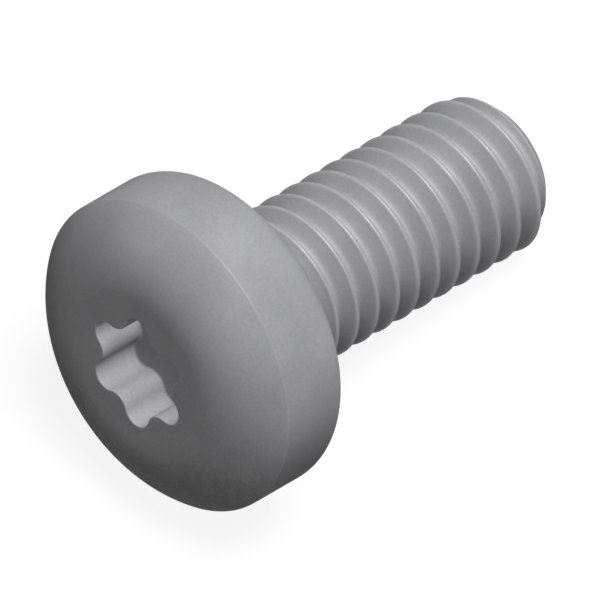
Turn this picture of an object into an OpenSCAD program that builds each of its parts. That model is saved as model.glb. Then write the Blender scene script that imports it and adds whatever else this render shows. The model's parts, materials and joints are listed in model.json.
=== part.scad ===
// Self-tapping screw with a crowned pan head and a six-lobe drive recess.
// A right-hand thread runs along its shank, from the neck under the head to the chamfered end.
// The screw lies as it comes to rest: on the rim of its head and the end of its shank.

/* [Shank] */
// Diameter of the shank, across the crests of its thread
shank_d = 6; // [5:0.1:7]
// Length of the shank, from the head's bearing face to the end
shank_l = 13.4; // [8:0.1:30]
// Length of the 45 degree chamfer at the shank's end
tip_chamfer = 0.73; // [0.3:0.01:1.2]
// Radius of the fillet where the shank meets the head
neck_fillet = 0.3; // [0.1:0.05:0.6]

/* [Thread] */
// Distance from one crest of the thread to the next
thread_pitch = 1; // [0.8:0.05:1.25]
// Width of the flat on the thread's crests
crest_flat = 0.125; // [0.08:0.005:0.25]
// Width of the flat at the bottom of the thread's groove
root_flat = 0.18; // [0.1:0.01:0.25]
// Length of plain shank between the neck fillet and the thread
plain_neck = 0.5; // [0.3:0.1:4]
// Length over which the thread's groove gains its full depth
run_out = 1; // [0.5:0.1:3]

/* [Head] */
// Diameter of the head
head_d = 12; // [10.5:0.1:16]
// Height of the head, from its bearing face to its flat top
head_h = 4.6; // [3.6:0.1:7]
// Diameter of the flat on top of the head
top_flat_d = 6; // [5:0.1:8]
// Height of the crown between the head's straight side and its flat top
crown_h = 1.52; // [0.8:0.02:2]
// Radius of the rounding between the head's side and its bearing face
rim_round = 0.85; // [0.3:0.05:1.2]

/* [Drive recess] */
// Width of the recess across opposite lobes
recess_lobes_d = 4.52; // [4.2:0.01:4.9]
// Width of the recess across opposite valleys
recess_valleys_d = 3.35; // [2.9:0.01:3.6]
// Radius of each lobe
lobe_r = 0.57; // [0.45:0.01:0.65]
// Depth of the recess below the flat top
recess_depth = 1.87; // [1.2:0.01:2.6]
// Turn of the recess about the screw's axis, in degrees
recess_turn = 13.1; // [0:0.1:60]

/* [Hidden] */
$fn = 128;

// How far a cut runs past the face that it opens in
cut_margin = 1;

shank_r = shank_d / 2;
tip_r = shank_r - tip_chamfer;
head_r = head_d / 2;
top_flat_r = top_flat_d / 2;
side_h = head_h - crown_h;

// The crown is an arc that leaves the flat top smoothly and meets the side at an edge.
crown_w = head_r - top_flat_r;
crown_r = (crown_w * crown_w + crown_h * crown_h) / (2 * crown_h);

// Lobes and valleys of the recess are arcs that meet smoothly, which sets the valleys' radius.
lobe_count = 6;
lobe_step = 360 / lobe_count;
lobe_centre_r = recess_lobes_d / 2 - lobe_r;
valley_bottom_r = recess_valleys_d / 2;
lobe_to_valley_cos = cos(lobe_step / 2);
valley_r = (pow(lobe_centre_r, 2) + pow(valley_bottom_r, 2) - pow(lobe_r, 2)
            - 2 * lobe_centre_r * valley_bottom_r * lobe_to_valley_cos)
           / (2 * (lobe_r + lobe_centre_r * lobe_to_valley_cos - valley_bottom_r));
valley_centre_r = valley_bottom_r + valley_r;

// The thread is what a groove with sloping flanks, wound to the right, leaves of the shank.
flank_angle = 30;
groove_w = thread_pitch - crest_flat;
thread_depth = (groove_w - root_flat) / (2 * tan(flank_angle));
groove_start = neck_fillet + plain_neck;

// The groove ends past the shank, half a pitch off a crest that meets the chamfer's edge at this angle,
// where the lying screw touches the floor.
floor_angle = 180;
groove_end = shank_l - tip_chamfer + (ceil(tip_chamfer / thread_pitch) + 0.5) * thread_pitch;

// The groove's section is swept in these steps, and stands out of the shank so that no faces coincide.
steps_per_turn = 30;
groove_steps = ceil((groove_end - groove_start) / thread_pitch * steps_per_turn);
groove_margin = 0.05;
groove_h = thread_depth + groove_margin;

// At rest the line under the screw touches the rim's rounding and the edge where the chamfer starts.
rest_run = shank_l - tip_chamfer + rim_round;
rest_drop = head_r - rim_round - shank_r;
rest_tilt = atan2(rest_drop, rest_run) + asin(rim_round / norm([rest_run, rest_drop]));

// Height of the bearing face's centre, and how far the screw reaches from it to either side
bearing_z = (shank_l - tip_chamfer) * sin(rest_tilt) + shank_r * cos(rest_tilt);
tip_reach = shank_l * cos(rest_tilt) + tip_r * sin(rest_tilt);
head_reach = (head_h - crown_r) * cos(rest_tilt) + top_flat_r * sin(rest_tilt) + crown_r;

// Half section of the head, with the screw's axis along Y and the bearing face at zero
module head_section() {
    square([head_r - rim_round, side_h]);
    translate([0, rim_round]) square([head_r, side_h - rim_round]);
    translate([head_r - rim_round, rim_round]) circle(rim_round);
    square([top_flat_r, head_h]);
    intersection() {
        translate([top_flat_r, head_h - crown_r]) circle(crown_r);
        translate([top_flat_r, side_h]) square([crown_w, crown_h]);
    }
}

// Half section of the shank, from its chamfered end up through the neck fillet into the head
module shank_section() {
    neck_r = shank_r + neck_fillet;
    difference() {
        polygon([
            [0, -shank_l],
            [tip_r, -shank_l],
            [shank_r, tip_chamfer - shank_l],
            [shank_r, -neck_fillet],
            [neck_r, -neck_fillet],
            [neck_r, side_h],
            [0, side_h],
        ]);
        translate([neck_r, -neck_fillet]) circle(neck_fillet);
    }
}

// A value that rises smoothly from zero to one as x does
function smooth_rise(x) =
    let (t = min(max(x, 0), 1))
        t * t * (3 - 2 * t);

// Corners of the groove's section at one step from the shank's end, lifted off the shank at the run-out.
// Steps lie half a step off the floor angle, which keeps them clear of the seam of the shank's round face.
function groove_section(step) =
    let (
        turn = (step - 0.5) / steps_per_turn,
        a = floor_angle + 360 * turn,
        along = groove_end - thread_pitch * turn,
        lift = groove_h * (1 - smooth_rise((along - groove_start) / run_out)),
        foot_r = shank_r - thread_depth + lift,
        rim_r = foot_r + groove_h,
        foot = root_flat / 2,
        rim = foot + groove_h * tan(flank_angle)
    )
    [
        for (corner = [[rim_r, rim], [foot_r, foot], [foot_r, -foot], [rim_r, -rim]])
            [corner[0] * cos(a), corner[0] * sin(a), corner[1] - along]
    ];

// The thread's groove, swept along a helix from past the shank's end to the neck
module thread_groove() {
    corner_count = 4;
    last = groove_steps * corner_count;
    polyhedron(
        points = [for (step = [0 : groove_steps]) each groove_section(step)],
        faces = [
            [3, 2, 1, 0],
            [last, last + 1, last + 2, last + 3],
            for (step = [0 : groove_steps - 1], i = [0 : corner_count - 1])
                let (a = step * corner_count + i, b = step * corner_count + (i + 1) % corner_count)
                    each [[a, b, b + corner_count], [a, b + corner_count, a + corner_count]],
        ]
    );
}

// Outline of the recess: a star through the centres of the arcs, with lobes added and valleys cut
module recess_outline() {
    difference() {
        union() {
            polygon([
                for (i = [0 : lobe_count - 1], half = [0, 1])
                    let (r = half == 0 ? lobe_centre_r : valley_centre_r, a = (i + half / 2) * lobe_step)
                        [r * cos(a), r * sin(a)]
            ]);
            for (i = [0 : lobe_count - 1])
                rotate(i * lobe_step) translate([lobe_centre_r, 0]) circle(lobe_r);
        }
        for (i = [0 : lobe_count - 1])
            rotate((i + 0.5) * lobe_step) translate([valley_centre_r, 0]) circle(valley_r);
    }
}

// The screw on its axis, head up, with the bearing face at zero
module upright_screw() {
    difference() {
        union() {
            rotate_extrude() head_section();
            rotate_extrude() shank_section();
        }
        thread_groove();
        translate([0, 0, head_h - recess_depth])
            rotate(recess_turn)
                linear_extrude(recess_depth + cut_margin) recess_outline();
    }
}

// The screw laid down with its end towards +X
module screw() {
    color("darkgray")
        translate([(head_reach - tip_reach) / 2, 0, bearing_z])
            rotate([0, rest_tilt - 90, 0])
                upright_screw();
}

screw();
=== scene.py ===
"""A pan-head self-tapping screw with a six-lobe recess and a right-hand thread, lying on a pale floor."""
import json
import math

import bpy
import numpy as np
from mathutils import Matrix, Vector


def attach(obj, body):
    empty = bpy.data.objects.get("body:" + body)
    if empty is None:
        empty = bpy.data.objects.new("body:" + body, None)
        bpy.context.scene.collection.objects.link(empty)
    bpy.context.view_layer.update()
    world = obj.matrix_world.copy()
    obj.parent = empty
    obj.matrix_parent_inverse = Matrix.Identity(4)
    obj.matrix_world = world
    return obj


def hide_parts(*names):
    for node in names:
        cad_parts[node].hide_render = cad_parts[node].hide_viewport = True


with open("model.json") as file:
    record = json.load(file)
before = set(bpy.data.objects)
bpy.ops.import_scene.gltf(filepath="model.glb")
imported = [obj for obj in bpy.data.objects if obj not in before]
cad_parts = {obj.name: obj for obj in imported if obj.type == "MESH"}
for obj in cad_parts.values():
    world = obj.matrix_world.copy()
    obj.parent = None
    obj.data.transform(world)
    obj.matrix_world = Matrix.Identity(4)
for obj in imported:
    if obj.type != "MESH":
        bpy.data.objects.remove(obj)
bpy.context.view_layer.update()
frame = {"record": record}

# Places from the frame: the screw's axis, the mouth of its recess and its bearing face
MM = 0.001
mounts = {mount["name"]: mount for mount in frame["record"]["mounts"]}
axis = Vector(mounts["thread"]["axis"]).normalized()
across = Vector((0, 1, 0))
upward = axis.cross(across)
recess_mouth = Vector(mounts["drive_recess"]["pos_m"])
bearing_point = Vector(mounts["bearing_face"]["pos_m"])
thread_point = Vector(mounts["thread"]["pos_m"])

# Sizes from the frame in millimetres. Places along the axis count from the bearing face to the shank's end.
head_r = mounts["head_side"]["dims"]["r_mm"]
head_h = (bearing_point - recess_mouth).dot(axis) / MM
bearing_centre = recess_mouth + axis * head_h * MM
shank_r = mounts["thread"]["dims"]["r_mm"]
thread_middle = (thread_point - bearing_centre).dot(axis) / MM
thread_half = mounts["thread"]["dims"]["length_mm"] / 2
thread_start = thread_middle - thread_half
shank_end = thread_middle + thread_half

# Driving sizes of the head, the shank's ends and the recess, in millimetres
TOP_FLAT_R = 3.0
CROWN_H = 1.52
RIM_ROUND = 0.85
NECK_FILLET = 0.3
TIP_CHAMFER = 0.73
RECESS_DEPTH = 1.87
LOBE_TIP_R = 2.26
VALLEY_BOTTOM_R = 1.675
LOBE_R = 0.57
LOBE_COUNT = 6
RECESS_TURN = math.radians(13.1)

# Small edge roundings that a headed and tumbled screw has, in millimetres
MOUTH_ROUND = 0.03
FOOT_ROUND = 0.10
CREASE_ROUND = 0.12
TIP_ROUND = 0.06

# Right-hand thread, cut into the shank from the diameter across its crests, in millimetres.
# A crest of it meets the edge of the chamfer where the lying screw touches the floor.
PITCH = 1.0
CREST_FLAT = 0.125
ROOT_FLAT = 0.18
FLANK_SLOPE = math.tan(math.radians(30))
THREAD_DEPTH = (PITCH - CREST_FLAT - ROOT_FLAT) / (2 * FLANK_SLOPE)
RUN_OUT = 1.0
RUN_OUT_MARGIN = 0.05
CREST_BLEND = 0.045
ROOT_BLEND = 0.16
CHAMFER_BLEND = 0.05
FLOOR_ANGLE = math.pi
chamfer_start = shank_end - TIP_CHAMFER

# Rings of the mesh: points in each, and rings to a pitch of the thread, to the recess's wall and to each arc
ANGLES = 192
ROWS_PER_PITCH = 30
WALL_ROWS = 9
CROWN_ROWS = 30
CREASE_ROWS = 7
RIM_ROWS = 14
NECK_ROWS = 8
TIP_ROWS = 4
SMALL_ARC_TURNS = np.radians((22.5, 45, 67.5, 90))

# Rings on the flat stretches, as shares of each stretch, closer together towards its edges
RECESS_FLOOR_SHARES = (0.08, 0.25, 0.45, 0.65, 0.82, 0.94, 1.0)
TOP_FLAT_SHARES = (0.06, 0.2, 0.4, 0.6, 0.8, 0.94)
HEAD_SIDE_SHARES = (0.02, 0.1, 0.3, 0.5, 0.7, 0.9, 0.98)
BEARING_FACE_SHARES = (0.03, 0.2, 0.4, 0.6, 0.8, 0.97)
SHANK_END_SHARES = (0.97, 0.8, 0.55, 0.3, 0.1)

# Shading marks. A tone multiplies the coat's grey and paints light and shade into it: painted light
# brightens the recess's wall and the thread's flanks, and painted shade darkens the recess's floor and the
# neck.
RECESS_FLOOR_PAINTED_SHADE = 0.86
RECESS_WALL_PAINTED_LIGHT = 1.12
NECK_PAINTED_SHADE = 0.97
FLANK_PAINTED_LIGHT = 1.12
# An edge's mark, from 0 to 1, says how far it is burnished. A crest's fades over this share of the depth.
MOUTH_EDGE = 0.3
CREASE_EDGE = 0.3
RIM_EDGE = 0.6
CREST_SHARE = 0.25

# Steel's coat. A scale counts features per metre, and a pair holds the values at the two ends of a range.
CLOUD_SCALE = 420
GRAIN_SCALE = 9000
FLAKE_SCALE = 16000
NOISE_SPREAD = (0.3, 0.7)
FLAKE_SPREAD = (0.5, 0.7)
EDGE_SPREAD = (0, 1)
COAT_GREY = (0.39, 0.45)
GRAIN_TONE = (0.94, 1.06)
EDGE_TONE = (1.0, 1.08)
BLUE_TONE = 1.03
FLAKE_METAL = (0.05, 0.15)
EDGE_METAL = (0.0, 0.14)
COAT_ROUGHNESS = (0.48, 0.60)
EDGE_ROUGHNESS = (1.0, 0.8)
BUMP_STRENGTH = 0.45
BUMP_HEIGHT = 0.006 * MM

# Studio, in metres and watts: a pale floor, a faint world and a soft lamp.
# The lamp is two lights at one place, and the stronger casts no shadow, so the floor's shadow stays faint.
WHITE = (1, 1, 1, 1)
FLOOR_HALF = 2.0
FLOOR_PALE = (0.9, 0.9, 0.9, 1)
FLOOR_BOUNCE = (0.145, 0.145, 0.145, 1)
FLOOR_GLOW = 0.22
WORLD_LIGHT = 0.035
LAMP_PLACE = Vector((0.03, -0.085, 0.4))
LAMP_AIM = Vector((0, 0, 0.005))
LAMP_SIZE = 0.24
SHADOW_POWER = 0.30
OPEN_POWER = 1.32

# Camera: the photograph's frame, its scale, its viewing angle and the pixel of the recess's mouth
IMAGE_PX = 600
MM_PER_PX = 0.0350426
VIEW_AZIMUTH = math.radians(-43.57)
VIEW_ELEVATION = math.radians(53.23)
MOUTH_PX = Vector((136.9, 373.1))
CAMERA_DISTANCE = 0.2
CLIP_START = 0.001
CLIP_END = 10

theta = np.arange(ANGLES) * 2 * math.pi / ANGLES


def smooth_max(a, b, blend):
    """The larger of a and b, with the corner between them rounded over the given width."""
    near = np.maximum(blend - np.abs(a - b), 0) / blend
    return np.maximum(a, b) + near * near * blend / 4


def smooth_min(a, b, blend):
    """The smaller of a and b, with the corner between them rounded over the given width."""
    return -smooth_max(-a, -b, blend)


def smooth_step(start, end, value):
    """A smooth change from 0 where the value is at start to 1 where it is at end."""
    x = np.clip((value - start) / (end - start), 0, 1)
    return x * x * (3 - 2 * x)


def recess_radius(angle):
    """Radius of the recess at an angle about the axis: lobe arcs and valley arcs that meet smoothly."""
    half_step = math.pi / LOBE_COUNT
    lobe_centre = LOBE_TIP_R - LOBE_R
    valley_r = (
        lobe_centre ** 2 + VALLEY_BOTTOM_R ** 2 - LOBE_R ** 2
        - 2 * lobe_centre * VALLEY_BOTTOM_R * math.cos(half_step)
    ) / (2 * (LOBE_R + lobe_centre * math.cos(half_step) - VALLEY_BOTTOM_R))
    valley_centre = VALLEY_BOTTOM_R + valley_r
    share = LOBE_R / (LOBE_R + valley_r)
    meet_x = lobe_centre + share * (valley_centre * math.cos(half_step) - lobe_centre)
    meet_y = share * valley_centre * math.sin(half_step)
    meet = math.atan2(meet_y, meet_x)
    from_lobe = np.abs((angle - RECESS_TURN + half_step) % (2 * half_step) - half_step)
    from_valley = half_step - from_lobe
    lobe_part = np.sqrt(np.maximum(LOBE_R ** 2 - (lobe_centre * np.sin(from_lobe)) ** 2, 0))
    valley_part = np.sqrt(np.maximum(valley_r ** 2 - (valley_centre * np.sin(from_valley)) ** 2, 0))
    on_lobe = lobe_centre * np.cos(from_lobe) + lobe_part
    on_valley = valley_centre * np.cos(from_valley) - valley_part
    return np.where(from_lobe <= meet, on_lobe, on_valley)


class Rows:
    """Rings of points about the axis, with places along it, radii, painted light and shade, and edge marks.
    """

    def __init__(self):
        self.along = []
        self.radius = []
        self.tone = []
        self.edge = []

    def add(self, along, radius, tone=1.0, edge=0.0):
        """One more ring. A single number holds all the way round."""
        ones = np.ones(ANGLES)
        self.along.append(along * ones)
        self.radius.append(radius * ones)
        self.tone.append(tone * ones)
        self.edge.append(edge * ones)


def add_recess(rows):
    """The recess, from the middle of its floor up its wall to its rounded mouth, whose radii it returns."""
    outline = recess_radius(theta)
    step = theta[1] - theta[0]
    slope = (np.roll(outline, -1) - np.roll(outline, 1)) / (2 * step)
    # A rounding that is even along the wall is this much wider along the radius.
    lean = np.sqrt(1 + (slope / outline) ** 2)
    floor = RECESS_DEPTH - head_h
    foot_start = outline - FOOT_ROUND * lean
    # Painted shade: the recess's floor is drawn darker than the coat.
    for share in RECESS_FLOOR_SHARES:
        rows.add(floor, foot_start * share, tone=RECESS_FLOOR_PAINTED_SHADE)
    for turn in SMALL_ARC_TURNS:
        inset = FOOT_ROUND * (1 - math.sin(turn)) * lean
        rows.add(floor - FOOT_ROUND * (1 - math.cos(turn)), outline - inset)
    wall_low = floor - FOOT_ROUND
    wall_high = MOUTH_ROUND - head_h
    # Painted light: the recess's wall is drawn brighter than the coat.
    for along in np.linspace(wall_low, wall_high, WALL_ROWS)[1:]:
        rows.add(along, outline, tone=RECESS_WALL_PAINTED_LIGHT)
    for turn in SMALL_ARC_TURNS:
        outset = MOUTH_ROUND * (1 - math.cos(turn)) * lean
        rows.add(wall_high - MOUTH_ROUND * math.sin(turn), outline + outset, edge=MOUTH_EDGE)
    return outline + MOUTH_ROUND * lean


def add_head(rows, mouth):
    """The head, from the recess's mouth over the flat top and crown to the bearing face and neck."""
    for share in TOP_FLAT_SHARES:
        rows.add(-head_h, mouth + share * (TOP_FLAT_R - mouth))
    crown_w = head_r - TOP_FLAT_R
    crown_r = (crown_w ** 2 + CROWN_H ** 2) / (2 * CROWN_H)
    crown_end = math.asin(crown_w / crown_r)
    crease_turn = math.pi / 2 - crown_end
    crease_setback = CREASE_ROUND * math.tan(crease_turn / 2)
    crown_stop = crown_end - crease_setback / crown_r
    for turn in np.linspace(0, crown_stop, CROWN_ROWS):
        rows.add(crown_r * (1 - math.cos(turn)) - head_h, TOP_FLAT_R + crown_r * math.sin(turn))
    side_start = CROWN_H - head_h
    crease_centre = side_start + crease_setback
    for turn in np.linspace(crown_end, math.pi / 2, CREASE_ROWS)[1:]:
        rows.add(
            crease_centre - CREASE_ROUND * math.cos(turn),
            head_r - CREASE_ROUND * (1 - math.sin(turn)),
            edge=CREASE_EDGE * math.sin(math.pi * (turn - crown_end) / crease_turn),
        )
    side_end = -RIM_ROUND
    for share in HEAD_SIDE_SHARES:
        rows.add(crease_centre + share * (side_end - crease_centre), head_r)
    for turn in np.linspace(0, math.pi / 2, RIM_ROWS):
        rows.add(
            side_end + RIM_ROUND * math.sin(turn),
            head_r - RIM_ROUND * (1 - math.cos(turn)),
            edge=RIM_EDGE * math.sin(2 * turn),
        )
    face_outer = head_r - RIM_ROUND
    face_inner = shank_r + NECK_FILLET
    for share in BEARING_FACE_SHARES:
        rows.add(0.0, face_outer + share * (face_inner - face_outer))
    # Painted shade: the neck's fillet is drawn darker than the coat.
    for turn in np.linspace(0, math.pi / 2, NECK_ROWS)[:-1]:
        rows.add(
            NECK_FILLET * (1 - math.cos(turn)),
            face_inner - NECK_FILLET * math.sin(turn),
            tone=NECK_PAINTED_SHADE,
        )


def thread_depth(along):
    """How far the thread's groove lies below the crests at a place along the axis, all the way round."""
    turns = (along - chamfer_start) / PITCH + (theta - FLOOR_ANGLE) / (2 * math.pi)
    from_middle = (turns - np.floor(turns) - 0.5) * PITCH
    flank = ((PITCH - CREST_FLAT) / 2 - np.abs(from_middle)) / FLANK_SLOPE
    gain = smooth_step(thread_start, thread_start + RUN_OUT, along - from_middle)
    lift = (THREAD_DEPTH + RUN_OUT_MARGIN) * (1 - gain)
    groove = smooth_min(flank, THREAD_DEPTH, ROOT_BLEND) - lift
    return smooth_max(groove, 0.0, CREST_BLEND)


def add_shank(rows):
    """The threaded shank, from the neck to the chamfer and the flat end."""
    tip_r = shank_r - TIP_CHAMFER
    count = math.ceil((shank_end - NECK_FILLET) / PITCH * ROWS_PER_PITCH)
    for along in np.linspace(NECK_FILLET, shank_end - TIP_ROUND, count):
        depth = thread_depth(along)
        cone = shank_r - (along - chamfer_start)
        share = np.clip(depth / THREAD_DEPTH, 0, 1)
        crest = smooth_step(CREST_SHARE, 0.0, share)
        past_run_out = smooth_step(thread_start, thread_start + RUN_OUT, along)
        # Painted light: the thread's flanks and roots are drawn brighter than its crests.
        rows.add(
            along,
            smooth_min(shank_r - depth, cone, CHAMFER_BLEND),
            tone=FLANK_PAINTED_LIGHT + (1 - FLANK_PAINTED_LIGHT) * crest,
            edge=crest * past_run_out,
        )
    for turn in np.linspace(math.pi / 4, math.pi / 2, TIP_ROWS):
        rows.add(
            shank_end - TIP_ROUND * (1 - math.sin(turn)),
            tip_r - TIP_ROUND * (1 - math.cos(turn)) + TIP_ROUND / 2,
        )
    for share in SHANK_END_SHARES:
        rows.add(shank_end, (tip_r - TIP_ROUND / 2) * share)


def ring_faces(count):
    """Faces between each ring and the next, and a fan from the middle point of each end."""
    faces = []
    for row in range(count - 1):
        a = row * ANGLES
        b = a + ANGLES
        for i in range(ANGLES):
            j = (i + 1) % ANGLES
            faces.append((a + i, b + i, b + j, a + j))
    first_middle = count * ANGLES
    last_middle = first_middle + 1
    last_ring = first_middle - ANGLES
    for i in range(ANGLES):
        j = (i + 1) % ANGLES
        faces.append((first_middle, i, j))
        faces.append((last_middle, last_ring + j, last_ring + i))
    return faces


def screw_mesh():
    """One closed mesh of the screw, with its painted light and shade and its edge marks as attributes."""
    rows = Rows()
    mouth = add_recess(rows)
    add_head(rows, mouth)
    add_shank(rows)
    along = np.array(rows.along)
    radius = np.array(rows.radius)
    out = np.outer(np.cos(theta), upward) + np.outer(np.sin(theta), across)
    points = np.array(bearing_centre) + MM * (
        along[..., None] * np.array(axis) + radius[..., None] * out[None]
    )
    end_middles = [np.array(bearing_centre + axis * MM * along[row, 0]) for row in (0, -1)]
    vertices = np.vstack([points.reshape(-1, 3), end_middles])
    mesh = bpy.data.meshes.new("screw_body")
    mesh.from_pydata(vertices.tolist(), [], ring_faces(len(along)))
    mesh.shade_smooth()
    for name, values in (("tone", rows.tone), ("edge", rows.edge)):
        attribute = mesh.attributes.new(name, "FLOAT", "POINT")
        end_values = [values[0][0], values[-1][0]]
        all_values = np.concatenate([np.ravel(values), end_values])
        attribute.data.foreach_set("value", all_values.astype(np.float32))
    mesh.validate()
    mesh.update()
    return mesh


def link(tree, source, output, target, socket):
    """A link from a node's output to another node's input."""
    tree.links.new(source.outputs[output], target.inputs[socket])


def noise(tree, coordinates, scale, detail, roughness=0.5):
    """A noise texture whose scale is in features per metre."""
    node = tree.nodes.new("ShaderNodeTexNoise")
    node.inputs["Scale"].default_value = scale
    node.inputs["Detail"].default_value = detail
    node.inputs["Roughness"].default_value = roughness
    link(tree, coordinates, "Object", node, "Vector")
    return node


def mark(tree, name):
    """One of the mesh's shading marks."""
    node = tree.nodes.new("ShaderNodeAttribute")
    node.attribute_name = name
    return node


def ramp(tree, source, spread, result):
    """A noise or a mark carried from one range to another, and held at its ends."""
    node = tree.nodes.new("ShaderNodeMapRange")
    node.inputs["From Min"].default_value = spread[0]
    node.inputs["From Max"].default_value = spread[1]
    node.inputs["To Min"].default_value = result[0]
    node.inputs["To Max"].default_value = result[1]
    link(tree, source, "Fac", node, "Value")
    return node


def combine(tree, operation, first, second, second_output=0):
    """Two values joined by arithmetic."""
    node = tree.nodes.new("ShaderNodeMath")
    node.operation = operation
    link(tree, first, 0, node, 0)
    link(tree, second, second_output, node, 1)
    return node


def steel_material():
    """Matte grey zinc-flake coat on steel: clouded grey, fine grain, painted light and shade, bright flakes
    and burnished edges.
    """
    material = bpy.data.materials.new("grey_coated_steel")
    material.use_nodes = True
    tree = material.node_tree
    shader = tree.nodes["Principled BSDF"]
    shader.inputs["Specular IOR Level"].default_value = 0.0
    coordinates = tree.nodes.new("ShaderNodeTexCoord")
    clouds = noise(tree, coordinates, CLOUD_SCALE, detail=4)
    grain = noise(tree, coordinates, GRAIN_SCALE, detail=3, roughness=0.6)
    flakes = noise(tree, coordinates, FLAKE_SCALE, detail=1)
    edge = mark(tree, "edge")

    coat = ramp(tree, clouds, NOISE_SPREAD, COAT_GREY)
    coat = combine(tree, "MULTIPLY", coat, ramp(tree, grain, NOISE_SPREAD, GRAIN_TONE))
    # Painted light and shade from the mesh: brighter recess wall and thread flanks, darker recess floor and
    # neck.
    coat = combine(tree, "MULTIPLY", coat, mark(tree, "tone"), "Fac")
    coat = combine(tree, "MULTIPLY", coat, ramp(tree, edge, EDGE_SPREAD, EDGE_TONE))
    cool = tree.nodes.new("ShaderNodeMath")
    cool.operation = "MULTIPLY"
    cool.inputs[1].default_value = BLUE_TONE
    tint = tree.nodes.new("ShaderNodeCombineColor")
    link(tree, coat, 0, cool, 0)
    link(tree, coat, 0, tint, "Red")
    link(tree, coat, 0, tint, "Green")
    link(tree, cool, 0, tint, "Blue")
    link(tree, tint, "Color", shader, "Base Color")

    flake_metal = ramp(tree, flakes, FLAKE_SPREAD, FLAKE_METAL)
    edge_metal = ramp(tree, edge, EDGE_SPREAD, EDGE_METAL)
    metal = combine(tree, "ADD", flake_metal, edge_metal)
    link(tree, metal, 0, shader, "Metallic")

    matte = ramp(tree, grain, NOISE_SPREAD, COAT_ROUGHNESS)
    polish = ramp(tree, edge, EDGE_SPREAD, EDGE_ROUGHNESS)
    roughness = combine(tree, "MULTIPLY", matte, polish)
    link(tree, roughness, 0, shader, "Roughness")

    bump = tree.nodes.new("ShaderNodeBump")
    bump.inputs["Strength"].default_value = BUMP_STRENGTH
    bump.inputs["Distance"].default_value = BUMP_HEIGHT
    link(tree, grain, "Fac", bump, "Height")
    link(tree, bump, "Normal", shader, "Normal")
    return material


def seen_rays(tree):
    """One for the rays that show a background: those of the camera, of reflections and through glass."""
    path = tree.nodes.new("ShaderNodeLightPath")
    camera_or_glossy = tree.nodes.new("ShaderNodeMath")
    camera_or_glossy.operation = "MAXIMUM"
    seen = tree.nodes.new("ShaderNodeMath")
    seen.operation = "MAXIMUM"
    link(tree, path, "Is Camera Ray", camera_or_glossy, 0)
    link(tree, path, "Is Glossy Ray", camera_or_glossy, 1)
    link(tree, camera_or_glossy, 0, seen, 0)
    link(tree, path, "Is Transmission Ray", seen, 1)
    return seen


def floor_material():
    """A pale floor that shows white where it is seen, keeps the shadow, and throws back little light."""
    material = bpy.data.materials.new("pale_floor")
    material.use_nodes = True
    tree = material.node_tree
    tree.nodes.clear()
    bounce = tree.nodes.new("ShaderNodeBsdfDiffuse")
    bounce.inputs["Color"].default_value = FLOOR_BOUNCE
    pale = tree.nodes.new("ShaderNodeBsdfDiffuse")
    pale.inputs["Color"].default_value = FLOOR_PALE
    glow = tree.nodes.new("ShaderNodeEmission")
    glow.inputs["Strength"].default_value = FLOOR_GLOW
    shown = tree.nodes.new("ShaderNodeAddShader")
    mix = tree.nodes.new("ShaderNodeMixShader")
    output = tree.nodes.new("ShaderNodeOutputMaterial")
    link(tree, pale, 0, shown, 0)
    link(tree, glow, 0, shown, 1)
    link(tree, seen_rays(tree), 0, mix, 0)
    link(tree, bounce, 0, mix, 1)
    link(tree, shown, 0, mix, 2)
    link(tree, mix, 0, output, 0)
    return material


def stage_floor():
    """The floor under the screw, wide enough for any view."""
    mesh = bpy.data.meshes.new("floor")
    corners = [
        (-FLOOR_HALF, -FLOOR_HALF, 0),
        (FLOOR_HALF, -FLOOR_HALF, 0),
        (FLOOR_HALF, FLOOR_HALF, 0),
        (-FLOOR_HALF, FLOOR_HALF, 0),
    ]
    mesh.from_pydata(corners, [], [(0, 1, 2, 3)])
    mesh.materials.append(floor_material())
    floor = bpy.data.objects.new("floor", mesh)
    bpy.context.scene.collection.objects.link(floor)


def soft_lamp(name, power):
    """A round soft light at the lamp's place."""
    light = bpy.data.lights.new(name, "AREA")
    light.shape = "DISK"
    light.size = LAMP_SIZE
    light.energy = power
    lamp = bpy.data.objects.new(name, light)
    lamp.location = LAMP_PLACE
    lamp.rotation_mode = "QUATERNION"
    lamp.rotation_quaternion = (LAMP_AIM - LAMP_PLACE).to_track_quat("-Z", "Y")
    bpy.context.scene.collection.objects.link(lamp)
    return light


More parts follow.
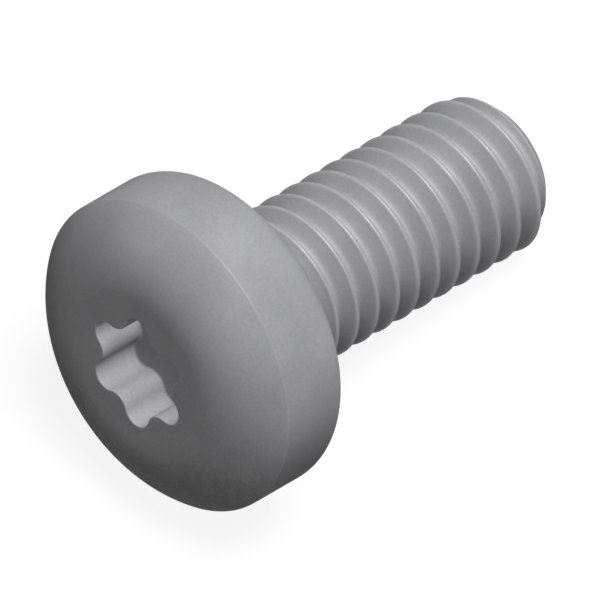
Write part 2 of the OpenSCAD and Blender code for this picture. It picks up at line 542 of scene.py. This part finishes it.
def set_world():
    """A faint world that lights the screw, and shows white where it is seen."""
    world = bpy.data.worlds.new("studio")
    world.use_nodes = True
    tree = world.node_tree
    light = tree.nodes["Background"]
    light.inputs["Color"].default_value = WHITE
    light.inputs["Strength"].default_value = WORLD_LIGHT
    shown = tree.nodes.new("ShaderNodeBackground")
    shown.inputs["Color"].default_value = WHITE
    mix = tree.nodes.new("ShaderNodeMixShader")
    link(tree, seen_rays(tree), 0, mix, 0)
    link(tree, light, 0, mix, 1)
    link(tree, shown, 0, mix, 2)
    link(tree, mix, 0, tree.nodes["World Output"], "Surface")
    bpy.context.scene.world = world


def add_camera():
    """An orthographic camera at the photograph's viewing angle and framing."""
    back = Vector((
        math.sin(VIEW_AZIMUTH) * math.cos(VIEW_ELEVATION),
        -math.cos(VIEW_AZIMUTH) * math.cos(VIEW_ELEVATION),
        math.sin(VIEW_ELEVATION),
    ))
    right = Vector((math.cos(VIEW_AZIMUTH), math.sin(VIEW_AZIMUTH), 0))
    up = back.cross(right)
    data = bpy.data.cameras.new("camera")
    data.type = "ORTHO"
    data.ortho_scale = IMAGE_PX * MM_PER_PX * MM
    data.clip_start = CLIP_START
    data.clip_end = CLIP_END
    camera = bpy.data.objects.new("camera", data)
    middle_px = IMAGE_PX / 2
    camera.location = (
        recess_mouth
        + right * (middle_px - MOUTH_PX.x) * MM_PER_PX * MM
        + up * (MOUTH_PX.y - middle_px) * MM_PER_PX * MM
        + back * CAMERA_DISTANCE
    )
    camera.rotation_mode = "QUATERNION"
    camera.rotation_quaternion = Matrix((right, up, back)).transposed().to_quaternion()
    bpy.context.scene.collection.objects.link(camera)
    bpy.context.scene.camera = camera


screw = bpy.data.objects.new("screw_body", screw_mesh())
bpy.context.scene.collection.objects.link(screw)
screw.data.materials.append(steel_material())
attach(screw, "root")
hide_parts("screw")

stage_floor()
soft_lamp("key", SHADOW_POWER)
open_light = soft_lamp("open_key", OPEN_POWER)
open_light.use_shadow = False
set_world()
add_camera()
bpy.context.scene.view_settings.view_transform = "Standard"
